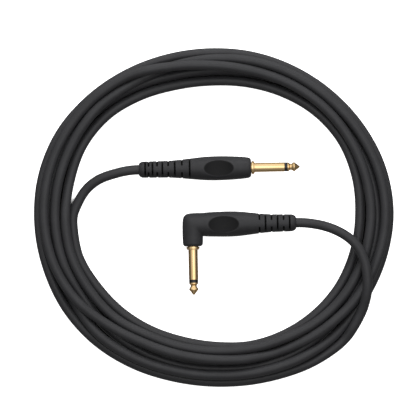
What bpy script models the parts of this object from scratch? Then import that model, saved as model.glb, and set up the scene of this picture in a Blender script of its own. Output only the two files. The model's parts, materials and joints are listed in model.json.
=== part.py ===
"""Coiled instrument cable: a straight and a right-angle 6.35 mm plug on one moulded lead.

Metres, +Z up.  The origin lies on the surface that the cable rests on, under the middle of the two plugs.
Each plug is built in its own frame: origin on the axis at the collar's front face, +Z towards the tip,
+Y up.  Distances behind that face are negative.
"""
import math

import bmesh
import bpy
import numpy as np
from mathutils import Matrix, Vector

CLEARANCE = 0.0003
ROUND = 24
SMALL_ROUND = 20

# Mating shaft, the same turned parts on both plugs.
SLEEVE_RADIUS = 0.003175
SLEEVE_BORE = 0.0023
SLEEVE_LENGTH = 0.0205
COLLAR_RADIUS = 0.0045
COLLAR_LENGTH = 0.0020
SPIGOT_RADIUS = 0.0036
LUG_SEAT_RADIUS = 0.0029
LUG_SEAT_START = 0.0040
SPIGOT_END = 0.0060
SHAFT_LENGTH = 0.0310
RING_START = SLEEVE_LENGTH + CLEARANCE
RING_END = 0.0223
TIP_START = RING_END + CLEARANCE
NECK_RADIUS = 0.00215
TIP_RADIUS = 0.00317
ROD_RADIUS = 0.0011
ROD_END = 0.0090
RIVET_RADIUS = 0.0018
RIVET_LENGTH = 0.0006
LINER_RADIUS = 0.0020
WASHER_RADIUS = 0.0032
LUG_THICKNESS = 0.0005

# Mouldings.
BODY_FRONT = COLLAR_LENGTH + CLEARANCE
FRONT_HOLE = SPIGOT_RADIUS + CLEARANCE
CAVITY_START = 0.0038
CAVITY_RADIUS = 0.0056
MOULD_RADIUS = CAVITY_RADIUS - CLEARANCE
MOULD_BORE = 0.00455
MOULD_REAR_WALL = 0.0022
MOULD_REACH = 0.0237
SLOT_WIDTH = 0.0011
SLOT_DEPTH = 0.0017
SLOT_HALF_ANGLE = math.radians(66)
SLOT_WEB_ANGLE = math.radians(6)
SCOOP_AXES = Vector((0.0300, 0.0100, 0.0170))

# Cable layers, inner to outer: name, outer radius, inner radius.
CABLE_RADIUS = 0.00335
JACKET_HOLE = CABLE_RADIUS + CLEARANCE
CABLE_LAYERS = (
    ("conductor", 0.00050, 0.0),
    ("dielectric", 0.00130, 0.00080),
    ("conductive_layer", 0.00185, 0.00160),
    ("shield", 0.00235, 0.00215),
    ("jacket", CABLE_RADIUS, 0.00265),
)
# How far inside the strain relief's end the cable's plain outer part begins.
GRIP_DEPTH = 0.012

# Straight plug.
STRAIGHT_ORIGIN = Vector((0.0241, 0.0391, 0.0083))
STRAIGHT_LENGTH = 0.0792
STRAIGHT_OUTLINE = (
    (0.0023, 0.0051), (0.0027, 0.0061), (0.0038, 0.0069), (0.0060, 0.0073), (0.0100, 0.0077),
    (0.0170, 0.0081), (0.0240, 0.0083), (0.0310, 0.0082), (0.0370, 0.0078), (0.0420, 0.0073),
    (0.0470, 0.0068), (0.0530, 0.0062), (0.0600, 0.0058), (0.0750, 0.0056), (0.0772, 0.0054),
    (0.0786, 0.0047), (0.0792, 0.0039),
)
STRAIGHT_LAYER_STARTS = (0.0102, 0.0129, 0.0136, 0.0143, 0.0165)
STRAIGHT_FIRST_SLOT = 0.0043
STRAIGHT_SLOT_PITCH = 0.0023
STRAIGHT_PITCH_GROWTH = 0.00043
STRAIGHT_SLOTS = 9
STRAIGHT_SCOOP_AT = 0.0245
STRAIGHT_SCOOP_FLOOR = 0.0060

# Right-angle plug.  The arm with the cable leaves along +X of the plug's frame.
ANGLED_ORIGIN = Vector((-0.01915, -0.0164, 0.0087))
ARM_DROP = 0.01715
ARM_LENGTH = 0.07095
LEG_OUTLINE = ((0.0023, 0.0051), (0.0027, 0.0060), (0.0038, 0.0068), (0.0060, 0.00695))
LEG_RADIUS = 0.00705
ARM_START_RADIUS = 0.0080
ARM_OUTLINE = (
    (0.0100, 0.0083), (0.0155, 0.0085), (0.0240, 0.0087), (0.0310, 0.0085), (0.0370, 0.0079),
    (0.0430, 0.0072), (0.0490, 0.0065), (0.0560, 0.0061), (0.0665, 0.0059), (0.0688, 0.0056),
    (0.0703, 0.0048), (0.07095, 0.0039),
)
ANGLED_LAYER_STARTS = (-0.0015, 0.0024, 0.0033, 0.0042, 0.0075)
ANGLED_FIRST_SLOT = 0.00445
ANGLED_SLOT_PITCH = 0.00413
ANGLED_SLOTS = 6
ANGLED_SCOOP_AT = 0.0213
ANGLED_SCOOP_FLOOR = 0.0063
CORNER_POWER = 6.0
ELBOW_STEPS = 9

# Cable: the coil's outline as angle in degrees, inner radius and outer radius about its centre.
COIL_CENTRE = Vector((-0.0047, 0.0057, 0.0))
COIL_HEIGHT = 0.0124
COIL_EDGE = 0.0031
COIL_STATIONS = 72
COIL_OUTLINE = (
    (0, 0.0974, 0.1223), (15, 0.0991, 0.1219), (30, 0.0998, 0.1202), (45, 0.0980, 0.1184),
    (60, 0.0953, 0.1169), (75, 0.0923, 0.1158), (90, 0.0908, 0.1153), (105, 0.0914, 0.1159),
    (120, 0.0942, 0.1173), (135, 0.0982, 0.1202), (150, 0.1000, 0.1227), (165, 0.0992, 0.1232),
    (177, 0.0989, 0.1228), (187, 0.0943, 0.1224), (200, 0.0925, 0.1218), (215, 0.0897, 0.1209),
    (230, 0.0873, 0.1189), (245, 0.0855, 0.1163), (260, 0.0849, 0.1150), (275, 0.0863, 0.1157),
    (290, 0.0896, 0.1182), (302, 0.0916, 0.1222), (308, 0.0922, 0.1236), (310, 0.0925, 0.1161),
    (320, 0.0938, 0.1154), (330, 0.0954, 0.1160), (340, 0.0964, 0.1197), (350, 0.0968, 0.1215),
)
STRAIGHT_TAIL = (
    (-0.0434, 0.0391, 0.0083), (-0.0555, 0.0391, 0.0083), (-0.0613, 0.0389, 0.0083),
    (-0.0681, 0.0377, 0.0079), (-0.0750, 0.0359, 0.0072), (-0.0819, 0.0336, 0.0062),
    (-0.0871, 0.0304, 0.0054), (-0.0921, 0.0260, 0.0046), (-0.0966, 0.0192, 0.0039),
    (-0.0995, 0.0124, 0.0036),
)
ANGLED_TAIL = (
    (0.0401, 0.00075, 0.0087), (0.0522, 0.00075, 0.0087), (0.0579, 0.0006, 0.0088),
    (0.0647, -0.0004, 0.0094), (0.0716, -0.0020, 0.0110), (0.0784, -0.0046, 0.0128),
    (0.0851, -0.0083, 0.0147), (0.0917, -0.0140, 0.0160), (0.0965, -0.0218, 0.0165),
    (0.0989, -0.0305, 0.0165), (0.0998, -0.0381, 0.0165), (0.0997, -0.0450, 0.0163),
    (0.0986, -0.0516, 0.0157), (0.0953, -0.0618, 0.0136), (0.0875, -0.0748, 0.0090),
    (0.0772, -0.0855, 0.0050),
)
TAIL_SPACING = 0.007


def clear_scene():
    for item in list(bpy.data.objects):
        bpy.data.objects.remove(item, do_unlink=True)


def finish(name, color, roughness, metallic=0.0):
    """A material of one colour."""
    made = bpy.data.materials.new(name)
    made.use_nodes = True
    shader = made.node_tree.nodes["Principled BSDF"]
    shader.inputs["Base Color"].default_value = (*color, 1.0)
    shader.inputs["Roughness"].default_value = roughness
    shader.inputs["Metallic"].default_value = metallic
    return made


def make_finishes():
    return {
        "gold": finish("gold_plate", (0.83, 0.62, 0.30), 0.18, 1.0),
        "black_plastic": finish("black_insulator", (0.015, 0.015, 0.017), 0.30),
        "white_plastic": finish("white_insulator", (0.80, 0.79, 0.75), 0.45),
        "tinned": finish("tinned_steel", (0.62, 0.61, 0.58), 0.35, 1.0),
        "solder": finish("solder", (0.58, 0.58, 0.60), 0.30, 1.0),
        "rubber": finish("moulded_body", (0.030, 0.030, 0.032), 0.55),
        "jacket": finish("cable_jacket", (0.034, 0.034, 0.036), 0.45),
        "copper": finish("bare_copper", (0.72, 0.36, 0.20), 0.35, 1.0),
        "semiconductor": finish("conductive_plastic", (0.02, 0.02, 0.02), 0.60),
    }


def ring(radius, height, segments=ROUND):
    """A circle about Z, or its centre alone where the radius is zero."""
    if radius == 0:
        return [Vector((0, 0, height))]
    angles = [2 * math.pi * step / segments for step in range(segments)]
    return [Vector((radius * math.cos(angle), radius * math.sin(angle), height)) for angle in angles]


def body_from_rings(name, rings, closed):
    """One closed body that joins each ring to the next, and the last to the first where closed."""
    work = bmesh.new()
    rows = [[work.verts.new(point) for point in points] for points in rings]
    pairs = list(zip(rows, rows[1:]))
    if closed:
        pairs.append((rows[-1], rows[0]))
    for near, far in pairs:
        span = max(len(near), len(far))
        for index in range(span):
            following = (index + 1) % span
            corners = [near[index % len(near)], near[following % len(near)],
                       far[following % len(far)], far[index % len(far)]]
            work.faces.new(list(dict.fromkeys(corners)))
    return mesh_from_work(name, work)


def mesh_from_work(name, work):
    bmesh.ops.recalc_face_normals(work, faces=work.faces)
    mesh = bpy.data.meshes.new(name)
    work.to_mesh(mesh)
    work.free()
    mesh.shade_smooth()
    mesh.set_sharp_from_angle(angle=math.radians(35))
    return mesh


def place(name, mesh, material, parent=None, placement=None):
    """A visible sub-part."""
    mesh.materials.append(material)
    part = bpy.data.objects.new(name, mesh)
    bpy.context.collection.objects.link(part)
    part.parent = parent
    part.matrix_local = placement or Matrix()
    return part


def combine(part, other_mesh, operation):
    """Cuts another closed shape, given in the part's own frame, out of it or joins it on."""
    other = bpy.data.objects.new(other_mesh.name, other_mesh)
    bpy.context.collection.objects.link(other)
    other.parent = part
    other.hide_render = True
    other.display_type = "WIRE"
    change = part.modifiers.new(operation.title(), "BOOLEAN")
    change.operation = operation
    change.solver = "EXACT"
    change.object = other


def turned(name, outline, segments=ROUND):
    """A turned part from (height, radius) points: solid when both ends are on the axis, else hollow."""
    rings = [ring(radius, height, segments) for height, radius in outline]
    hollow = outline[0][1] > 0
    return body_from_rings(name, rings, hollow)


def tube_outline(start, end, outer, inner):
    return ((start, inner), (start, outer), (end, outer), (end, inner))


def block(name, low, high):
    """A box between two corners."""
    work = bmesh.new()
    size = Vector(high) - Vector(low)
    middle = (Vector(high) + Vector(low)) / 2
    bmesh.ops.create_cube(work, size=1.0, matrix=Matrix.Translation(middle) @ Matrix.Diagonal((*size, 1.0)))
    return mesh_from_work(name, work)


def sector(work, inner, outer, middle_angle, half_angle, low, high, placement):
    """Adds a closed piece of a thick-walled tube, about the Z axis of the placement."""
    steps = 9
    columns = []
    for step in range(steps + 1):
        angle = middle_angle + half_angle * (2 * step / steps - 1)
        direction = Vector((math.cos(angle), math.sin(angle), 0))
        corners = ((inner, low), (outer, low), (outer, high), (inner, high))
        columns.append([work.verts.new(placement @ (direction * radius + Vector((0, 0, height))))
                        for radius, height in corners])
    for near, far in zip(columns, columns[1:]):
        for index in range(4):
            following = (index + 1) % 4
            work.faces.new((near[index], near[following], far[following], far[index]))
    work.faces.new(columns[0][::-1])
    work.faces.new(columns[-1])


def plug_frame(name, origin, tip_direction):
    """An empty at the front of a plug's collar, with +Z towards its tip and +Y up."""
    up = Vector((0, 0, 1))
    side = up.cross(tip_direction)
    turn = Matrix((side, up, tip_direction)).transposed()
    frame = bpy.data.objects.new(name, None)
    frame.empty_display_size = 0.01
    bpy.context.collection.objects.link(frame)
    frame.matrix_world = Matrix.Translation(origin) @ turn.to_4x4()
    return frame


def cable_frame(start, direction):
    """The plug-frame placement whose +Z runs along the cable, away from the contacts, with +Y up."""
    up = Vector((0, 1, 0))
    turn = Matrix((up.cross(direction), up, direction)).transposed()
    return Matrix.Translation(start) @ turn.to_4x4()


def add_contacts(prefix, frame, finishes):
    """The turned contacts and their insulators."""
    tip = (
        (-ROD_END, 0), (-ROD_END, RIVET_RADIUS), (-ROD_END + RIVET_LENGTH, RIVET_RADIUS),
        (-ROD_END + RIVET_LENGTH, ROD_RADIUS), (TIP_START, ROD_RADIUS), (TIP_START, 0.0029),
        (TIP_START + 0.0002, 0.0031), (TIP_START + 0.0007, 0.0031), (0.0244, 0.00225),
        (0.0248, NECK_RADIUS), (0.0252, 0.00225), (0.0265, 0.0030), (0.0271, TIP_RADIUS),
        (0.0277, 0.0030), (0.0302, 0.0010), (0.0307, 0.0006), (SHAFT_LENGTH, 0),
    )
    place(prefix + "_tip_contact", turned("tip", tip, 24), finishes["gold"], frame)
    insulator = tube_outline(RING_START, RING_END, 0.0031, ROD_RADIUS + CLEARANCE)
    place(prefix + "_tip_insulator", turned("ring", insulator, 24), finishes["black_plastic"], frame)
    liner = tube_outline(-SPIGOT_END, SLEEVE_LENGTH, LINER_RADIUS, ROD_RADIUS + CLEARANCE)
    place(prefix + "_rod_insulator", turned("liner", liner, SMALL_ROUND), finishes["white_plastic"], frame)
    washer_front = -SPIGOT_END - CLEARANCE
    washer = tube_outline(washer_front - 0.0010, washer_front, WASHER_RADIUS, ROD_RADIUS + CLEARANCE)
    place(prefix + "_rear_washer", turned("washer", washer, SMALL_ROUND), finishes["black_plastic"], frame)
    sleeve = (
        (-SPIGOT_END, SLEEVE_BORE), (-SPIGOT_END, LUG_SEAT_RADIUS), (-LUG_SEAT_START, LUG_SEAT_RADIUS),
        (-LUG_SEAT_START, SPIGOT_RADIUS), (-COLLAR_LENGTH, SPIGOT_RADIUS),
        (-COLLAR_LENGTH, COLLAR_RADIUS - 0.0002), (-COLLAR_LENGTH + 0.0002, COLLAR_RADIUS),
        (-0.0004, COLLAR_RADIUS), (0, COLLAR_RADIUS - 0.0004), (0, SLEEVE_RADIUS),
        (SLEEVE_LENGTH - 0.0002, SLEEVE_RADIUS), (SLEEVE_LENGTH, SLEEVE_RADIUS - 0.0002),
        (SLEEVE_LENGTH, SLEEVE_BORE),
    )
    place(prefix + "_sleeve_contact", turned("sleeve", sleeve, 24), finishes["gold"], frame)


def add_tip_lug(prefix, frame, finishes, tab_end):
    """The lug under the rod's riveted end, with the tab that takes the centre conductor."""
    high = -SPIGOT_END - 0.0016
    low = high - LUG_THICKNESS
    plate = turned("lug_plate", tube_outline(low, high, 0.0026, ROD_RADIUS + CLEARANCE), SMALL_ROUND)
    lug = place(prefix + "_tip_lug", plate, finishes["tinned"], frame)
    tab = block("lug_tab", (-0.0012, -0.0026, -tab_end), (0.0012, -0.0022, high - 0.0001))
    combine(lug, tab, "UNION")


def add_ground_lug(prefix, frame, finishes, strips, along, claw_start):
    """The lug round the sleeve's spigot, the strip over the joints and the claws that grip the jacket."""
    high = -LUG_SEAT_START - CLEARANCE
    low = high - LUG_THICKNESS
    plate = turned("ground_plate", tube_outline(low, high, 0.00425, LUG_SEAT_RADIUS + CLEARANCE))
    lug = place(prefix + "_ground_lug", plate, finishes["tinned"], frame)
    for start, end in strips:
        combine(lug, block("ground_strip", start, end), "UNION")
    claws = bmesh.new()
    sector(claws, JACKET_HOLE, 0.00405, math.pi / 2, math.radians(150), claw_start, claw_start + 0.003, along)
    combine(lug, mesh_from_work("ground_claws", claws), "UNION")


def add_cable_end(prefix, frame, finishes, along, starts, end):
    """The cut-back layers of the cable, which end inside the strain relief where its tail begins."""
    end = end - GRIP_DEPTH
    colors = ("copper", "white_plastic", "semiconductor", "copper", "jacket")
    for (layer, outer, inner), start, color in zip(CABLE_LAYERS, starts, colors):
        if inner > 0:
            outline = tube_outline(start, end, outer, inner)
        else:
            outline = ((start, 0), (start, outer), (end, outer), (end, 0))
        name = prefix + "_" + layer + "_end"
        place(name, turned(layer, outline, SMALL_ROUND), finishes[color], frame, along)


def add_solder(prefix, frame, finishes, along, joints):
    """A drop of solder at each joint: name, distance along the cable, height above its axis, half size."""
    for name, distance, height, half_size in joints:
        work = bmesh.new()
        spot = along @ Matrix.Translation((0, height, distance)) @ Matrix.Diagonal((*half_size, 1.0))
        bmesh.ops.create_icosphere(work, subdivisions=2, radius=1.0, matrix=spot)
        place(prefix + "_" + name, mesh_from_work(name, work), finishes["solder"], frame)


def add_slots(part, along, length, distances, outline):
    """Relief slots by turns above and below, then left and right, counted from the cable's end.

    A web at mid-height parts each side slot in two.
    """
    work = bmesh.new()
    half_side = (SLOT_HALF_ANGLE - SLOT_WEB_ANGLE) / 2
    off_middle = SLOT_WEB_ANGLE + half_side
    for count, distance in enumerate(distances):
        station = length - distance
        radius = float(np.interp(station, [point[0] for point in outline], [point[1] for point in outline]))
        low = station - SLOT_WIDTH / 2
        if count % 2 == 0:
            cuts = [(math.pi / 2, SLOT_HALF_ANGLE), (-math.pi / 2, SLOT_HALF_ANGLE)]
        else:
            cuts = [(half_turn + side * off_middle, half_side) for half_turn in (0, math.pi) for side in (-1, 1)]
        for middle, half_angle in cuts:
            sector(work, radius - SLOT_DEPTH, radius + 0.001, middle, half_angle, low, low + SLOT_WIDTH, along)
    combine(part, mesh_from_work("relief_slots", work), "DIFFERENCE")


def add_scoop(part, along, distance, floor_height):
    """The oval thumb scoop in the top of the body."""
    work = bmesh.new()
    middle = Matrix.Translation((0, floor_height + SCOOP_AXES.y, distance))
    shape = along @ middle @ Matrix.Diagonal((*SCOOP_AXES, 1.0))
    bmesh.ops.create_icosphere(work, subdivisions=3, radius=1.0, matrix=shape)
    combine(part, mesh_from_work("thumb_scoop", work), "DIFFERENCE")


def straight_plug(finishes):
    frame = plug_frame("straight_plug_frame", STRAIGHT_ORIGIN, Vector((1, 0, 0)))
    along = cable_frame(Vector((0, 0, 0)), Vector((0, 0, -1)))
    add_contacts("straight", frame, finishes)
    add_tip_lug("straight", frame, finishes, 0.0135)
    strips = (((-0.0012, 0.00365, -0.0195), (0.0012, 0.00405, -0.0044)),)
    add_ground_lug("straight", frame, finishes, strips, along, 0.0170)
    add_cable_end("straight", frame, finishes, along, STRAIGHT_LAYER_STARTS, STRAIGHT_LENGTH)
    joints = (("tip_solder", 0.0116, -0.0014, (0.0009, 0.0005, 0.0010)),
              ("ground_solder", 0.0152, 0.0030, (0.0010, 0.00035, 0.0008)))
    add_solder("straight", frame, finishes, along, joints)
    wall = MOULD_REACH - MOULD_REAR_WALL
    mould = ((CAVITY_START + CLEARANCE, MOULD_BORE), (CAVITY_START + CLEARANCE, MOULD_RADIUS),
             (MOULD_REACH, MOULD_RADIUS), (MOULD_REACH, JACKET_HOLE), (wall, JACKET_HOLE), (wall, MOULD_BORE))
    place("straight_inner_mould", turned("mould", mould), finishes["white_plastic"], frame, along)
    hollow = MOULD_REACH + CLEARANCE
    inside = ((STRAIGHT_LENGTH, JACKET_HOLE), (hollow, JACKET_HOLE), (hollow, CAVITY_RADIUS),
              (CAVITY_START, CAVITY_RADIUS), (CAVITY_START, FRONT_HOLE), (BODY_FRONT, FRONT_HOLE))
    skin = turned("body", STRAIGHT_OUTLINE + inside)
    body = place("straight_overmould", skin, finishes["rubber"], frame, along)
    steps = [step * (STRAIGHT_SLOT_PITCH + STRAIGHT_PITCH_GROWTH * (step - 1) / 2)
             for step in range(STRAIGHT_SLOTS)]
    distances = [STRAIGHT_FIRST_SLOT + step for step in steps]
    add_slots(body, Matrix(), STRAIGHT_LENGTH, distances, STRAIGHT_OUTLINE)
    add_scoop(body, Matrix(), STRAIGHT_SCOOP_AT, STRAIGHT_SCOOP_FLOOR)


def leg_ring(distance, radius):
    """A section of the right-angle plug's leg, at a distance behind the collar's front face."""
    return ring(radius, -distance)


def arm_ring(distance, radius):
    """A section of its arm, at a distance from the leg's axis, in step with the leg's sections."""
    return [Vector((distance, point.y, -ARM_DROP + point.x)) for point in ring(radius, 0)]


def elbow_rings(leg_radius, arm_radius):
    """Sections that fan about the inner corner, from the leg round to the arm, with a tight outer corner."""
    corner = Vector((leg_radius, 0, arm_radius - ARM_DROP))
    rings = []
    for step in range(ELBOW_STEPS):
        turn = math.pi / 2 * step / (ELBOW_STEPS - 1)
        leg_part = (math.cos(turn) / (2 * leg_radius)) ** CORNER_POWER
        arm_part = (math.sin(turn) / (2 * arm_radius)) ** CORNER_POWER
        reach = (leg_part + arm_part) ** (-1 / CORNER_POWER)
        half_height = leg_radius + (arm_radius - leg_radius) * step / (ELBOW_STEPS - 1)
        outward = Vector((-math.cos(turn), 0, -math.sin(turn)))
        rings.append([corner + outward * reach * (1 - point.x) / 2 + Vector((0, half_height * point.y, 0))
                      for point in ring(1.0, 0)])
    return rings


def bent_tube_rings(start, end, leg_radius, arm_radius):
    """Sections of a plain bent passage from a distance behind the collar's face to a distance along the arm."""
    return ([leg_ring(start, leg_radius)] + elbow_rings(leg_radius, arm_radius) +
            [arm_ring(end, arm_radius)])


def angled_plug(finishes):
    frame = plug_frame("angled_plug_frame", ANGLED_ORIGIN, Vector((0, -1, 0)))
    along = cable_frame(Vector((0, 0, -ARM_DROP)), Vector((1, 0, 0)))
    add_contacts("angled", frame, finishes)
    add_tip_lug("angled", frame, finishes, ARM_DROP + 0.0013)
    strips = (((-0.0012, 0.00365, -ARM_DROP - 0.0012), (0.0012, 0.00405, -0.0044)),
              ((-0.0010, 0.00365, -ARM_DROP - 0.0011), (0.0115, 0.00405, -ARM_DROP + 0.0011)))
    add_ground_lug("angled", frame, finishes, strips, along, 0.0090)
    add_cable_end("angled", frame, finishes, along, ANGLED_LAYER_STARTS, ARM_LENGTH)
    joints = (("tip_solder", 0.0, -0.0014, (0.0009, 0.0005, 0.0010)),
              ("ground_solder", 0.0060, 0.0030, (0.0010, 0.00035, 0.0010)))
    add_solder("angled", frame, finishes, along, joints)
    wall = MOULD_REACH - MOULD_REAR_WALL
    mould = (bent_tube_rings(CAVITY_START + CLEARANCE, MOULD_REACH, MOULD_RADIUS, MOULD_RADIUS) +
             [arm_ring(MOULD_REACH, JACKET_HOLE), arm_ring(wall, JACKET_HOLE)] +
             bent_tube_rings(CAVITY_START + CLEARANCE, wall, MOULD_BORE, MOULD_BORE)[::-1])
    place("angled_inner_mould", body_from_rings("mould", mould, True), finishes["white_plastic"], frame)
    hollow = MOULD_REACH + CLEARANCE
    outside = ([leg_ring(distance, radius) for distance, radius in LEG_OUTLINE] +
               elbow_rings(LEG_RADIUS, ARM_START_RADIUS) +
               [arm_ring(distance, radius) for distance, radius in ARM_OUTLINE])
    inside = ([arm_ring(ARM_LENGTH, JACKET_HOLE), arm_ring(hollow, JACKET_HOLE)] +
              bent_tube_rings(CAVITY_START, hollow, CAVITY_RADIUS, CAVITY_RADIUS)[::-1] +
              [leg_ring(CAVITY_START, FRONT_HOLE), leg_ring(BODY_FRONT, FRONT_HOLE)])
    skin = body_from_rings("body", outside + inside, True)
    body = place("angled_overmould", skin, finishes["rubber"], frame)
    distances = [ANGLED_FIRST_SLOT + ANGLED_SLOT_PITCH * step for step in range(ANGLED_SLOTS)]
    add_slots(body, along, ARM_LENGTH, distances, ARM_OUTLINE)
    add_scoop(body, along, ANGLED_SCOOP_AT, ANGLED_SCOOP_FLOOR)


def smooth_route(points, spacing):
    """Evenly spaced points on a smooth curve through the given ones."""
    route = [Vector(point) for point in points]
    route = [route[0] * 2 - route[1]] + route + [route[-1] * 2 - route[-2]]
    fine = []
    for before, start, end, after in zip(route, route[1:], route[2:], route[3:]):
        for step in range(20):
            part = step / 20
            fine.append(0.5 * ((2 * start) + (end - before) * part +
                               (2 * before - 5 * start + 4 * end - after) * part ** 2 +
                               (3 * start - before - 3 * end + after) * part ** 3))
    fine.append(route[-2])
    walked = np.concatenate(([0], np.cumsum([(b - a).length for a, b in zip(fine, fine[1:])])))
    count = max(2, round(walked[-1] / spacing)) + 1
    wanted = np.linspace(0, walked[-1], count)
    columns = [np.interp(wanted, walked, [point[axis] for point in fine]) for axis in range(3)]
    return list(zip(*columns))


def cable_tail(name, points, material):
    """The cable between a plug and the coil."""
    curve = bpy.data.curves.new(name, "CURVE")
    curve.dimensions = "3D"
    curve.bevel_depth = CABLE_RADIUS
    curve.bevel_resolution = 3
    curve.use_fill_caps = True
    route = smooth_route(points, TAIL_SPACING)
    spline = curve.splines.new("POLY")
    spline.points.add(len(route) - 1)
    for spot, point in zip(spline.points, route):
        spot.co = (*point, 1.0)
    curve.materials.append(material)
    tail = bpy.data.objects.new(name, curve)
    bpy.context.collection.objects.link(tail)


def coil_section(inner, outer):
    """A flat-bottomed section with rounded edges, as (radius, height) points."""
    points = []
    corners = ((outer, 0, 0), (outer, COIL_HEIGHT, 90), (inner, COIL_HEIGHT, 180), (inner, 0, 270))
    for radius, height, turn in corners:
        centre_radius = radius + (COIL_EDGE if radius == inner else -COIL_EDGE)
        centre_height = height + (COIL_EDGE if height == 0 else -COIL_EDGE)
        for step in (-90, -45, 0):
            angle = math.radians(turn + step)
            points.append((centre_radius + COIL_EDGE * math.cos(angle), centre_height + COIL_EDGE * math.sin(angle)))
    return points


def cable_coil(material):
    """The outer shape of all the turns together."""
    stations = [row[0] for row in COIL_OUTLINE]
    rings = []
    for step in range(COIL_STATIONS):
        degrees = 360 * step / COIL_STATIONS
        inner = float(np.interp(degrees, stations, [row[1] for row in COIL_OUTLINE], period=360))
        outer = float(np.interp(degrees, stations, [row[2] for row in COIL_OUTLINE], period=360))
        direction = Vector((math.cos(math.radians(degrees)), math.sin(math.radians(degrees)), 0))
        rings.append([direction * radius + Vector((0, 0, height))
                      for radius, height in coil_section(inner, outer)])
    place("cable_coil", body_from_rings("coil", rings, True), material, None, Matrix.Translation(COIL_CENTRE))


def build():
    clear_scene()
    finishes = make_finishes()
    straight_plug(finishes)
    angled_plug(finishes)
    cable_coil(finishes["jacket"])
    cable_tail("cable_tail_straight", STRAIGHT_TAIL, finishes["jacket"])
    cable_tail("cable_tail_angled", ANGLED_TAIL, finishes["jacket"])


build()
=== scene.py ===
import json
import math

import bpy
import numpy as np
from mathutils import Matrix, Vector


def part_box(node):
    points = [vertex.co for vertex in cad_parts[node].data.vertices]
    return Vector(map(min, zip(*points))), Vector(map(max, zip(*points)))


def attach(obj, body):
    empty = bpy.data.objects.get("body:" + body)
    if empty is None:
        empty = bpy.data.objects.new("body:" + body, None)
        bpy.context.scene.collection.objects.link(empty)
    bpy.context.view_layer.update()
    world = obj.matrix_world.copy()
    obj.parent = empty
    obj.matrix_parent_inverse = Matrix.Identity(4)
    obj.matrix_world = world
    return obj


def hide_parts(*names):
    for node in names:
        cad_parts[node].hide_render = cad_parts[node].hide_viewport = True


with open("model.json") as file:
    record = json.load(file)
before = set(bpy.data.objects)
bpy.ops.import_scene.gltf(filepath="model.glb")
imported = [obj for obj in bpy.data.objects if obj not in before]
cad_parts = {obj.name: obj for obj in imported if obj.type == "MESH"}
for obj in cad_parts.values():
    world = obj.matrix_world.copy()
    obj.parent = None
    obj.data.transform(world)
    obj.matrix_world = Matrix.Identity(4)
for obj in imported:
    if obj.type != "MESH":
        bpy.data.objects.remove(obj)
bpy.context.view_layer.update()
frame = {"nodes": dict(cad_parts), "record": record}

# ---------------------------------------------------------------------------------------------------
# Dimensions in metres, unless a line says otherwise.  The plugs' places come from the frame.

# Cable.  The loose ends run from inside each strain relief to the coil.  Settling leaves a stretch at each
# end where it is drawn.
CABLE_DIAMETER = 0.0067
CABLE_RADIUS = CABLE_DIAMETER / 2
STRAIGHT_TAIL = (
    (-0.0434, 0.0391, 0.0083), (-0.0555, 0.0391, 0.0083), (-0.0613, 0.0389, 0.0083),
    (-0.0681, 0.0377, 0.0079), (-0.0750, 0.0359, 0.0072), (-0.0819, 0.0336, 0.0062),
    (-0.0871, 0.0304, 0.0054), (-0.0921, 0.0260, 0.0046), (-0.0966, 0.0192, 0.0039),
    (-0.0995, 0.0124, 0.0036),
)
ANGLED_TAIL = (
    (0.0401, 0.00075, 0.0087), (0.0522, 0.00075, 0.0087), (0.0579, 0.0006, 0.0088),
    (0.0647, -0.0004, 0.0094), (0.0716, -0.0020, 0.0110), (0.0784, -0.0046, 0.0128),
    (0.0851, -0.0083, 0.0147), (0.0917, -0.0140, 0.0160), (0.0965, -0.0218, 0.0165),
    (0.0989, -0.0305, 0.0165), (0.0998, -0.0381, 0.0165), (0.0997, -0.0450, 0.0163),
    (0.0986, -0.0516, 0.0157), (0.0953, -0.0618, 0.0136), (0.0875, -0.0748, 0.0090),
    (0.0772, -0.0855, 0.0050),
)
STRAIGHT_HELD = 0.045
ANGLED_HELD = 0.080
ROUTE_STEPS = 16
SAMPLE_SPACING = 0.002
CURVE_SPACING = 0.005

# Coil.  A turn starts on the left and runs through the bottom, the right and the top.  Each row of TURNS has
# the radius of the cable's middle in mm every 15 degrees.  The same row of LAYERS has the layer that it is
# drawn in there, from 0 on the floor.
COIL_CENTRE = Vector((-0.0047, 0.0057, 0))
TURN_START = 180
STATION_STEP = 15
TURNS = (
    (96.8, 96.5, 93.1, 90.8, 88.9, 87.8, 88.8, 91.8, 94.2, 96.6, 98.7, 99.7,
     100.5, 102.0, 102.7, 101.0, 97.9, 95.1, 93.4, 94.1, 97.3, 101.0, 102.5, 101.6),
    (101.6, 101.1, 98.7, 96.6, 92.8, 91.7, 91.9, 93.7, 96.6, 101.3, 104.8, 106.8,
     108.0, 107.9, 107.5, 106.7, 105.1, 103.6, 103.9, 107.1, 112.8, 115.4, 116.6, 116.8),
    (116.2, 114.2, 110.0, 103.2, 98.6, 97.2, 97.7, 100.4, 103.8, 108.2, 112.7, 116.1,
     118.0, 117.4, 115.4, 113.3, 111.8, 110.1, 108.3, 107.1, 107.1, 108.9, 109.0, 109.0),
    (108.7, 107.6, 105.1, 105.3, 104.8, 104.2, 104.2, 106.5, 108.7, 109.3, 109.4, 111.2,
     112.3, 111.6, 110.3, 108.3, 105.7, 102.3, 100.6, 101.1, 104.3, 108.2, 112.7, 113.4),
    (113.3, 112.6, 112.0, 112.6, 110.5, 108.6, 108.6, 110.6, 113.7, 116.5, 117.0, 118.9,
     120.5, 120.0, 118.0, 116.0, 114.5, 113.5, 112.7, 113.1, 114.7, 117.1, 119.7, 120.5),
    (119.9, 119.1, 118.7, 117.2, 114.9, 113.1, 113.3, 115.5, 119.6),
)
LAYERS = (
    "000000000000000000000000",
    "111111111111111112222111",
    "122222221111111111111111",
    "111000000000000000000000",
    "000111111100000000000000",
    "000000000",
)
LAYER_RISE = 0.0062

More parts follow.
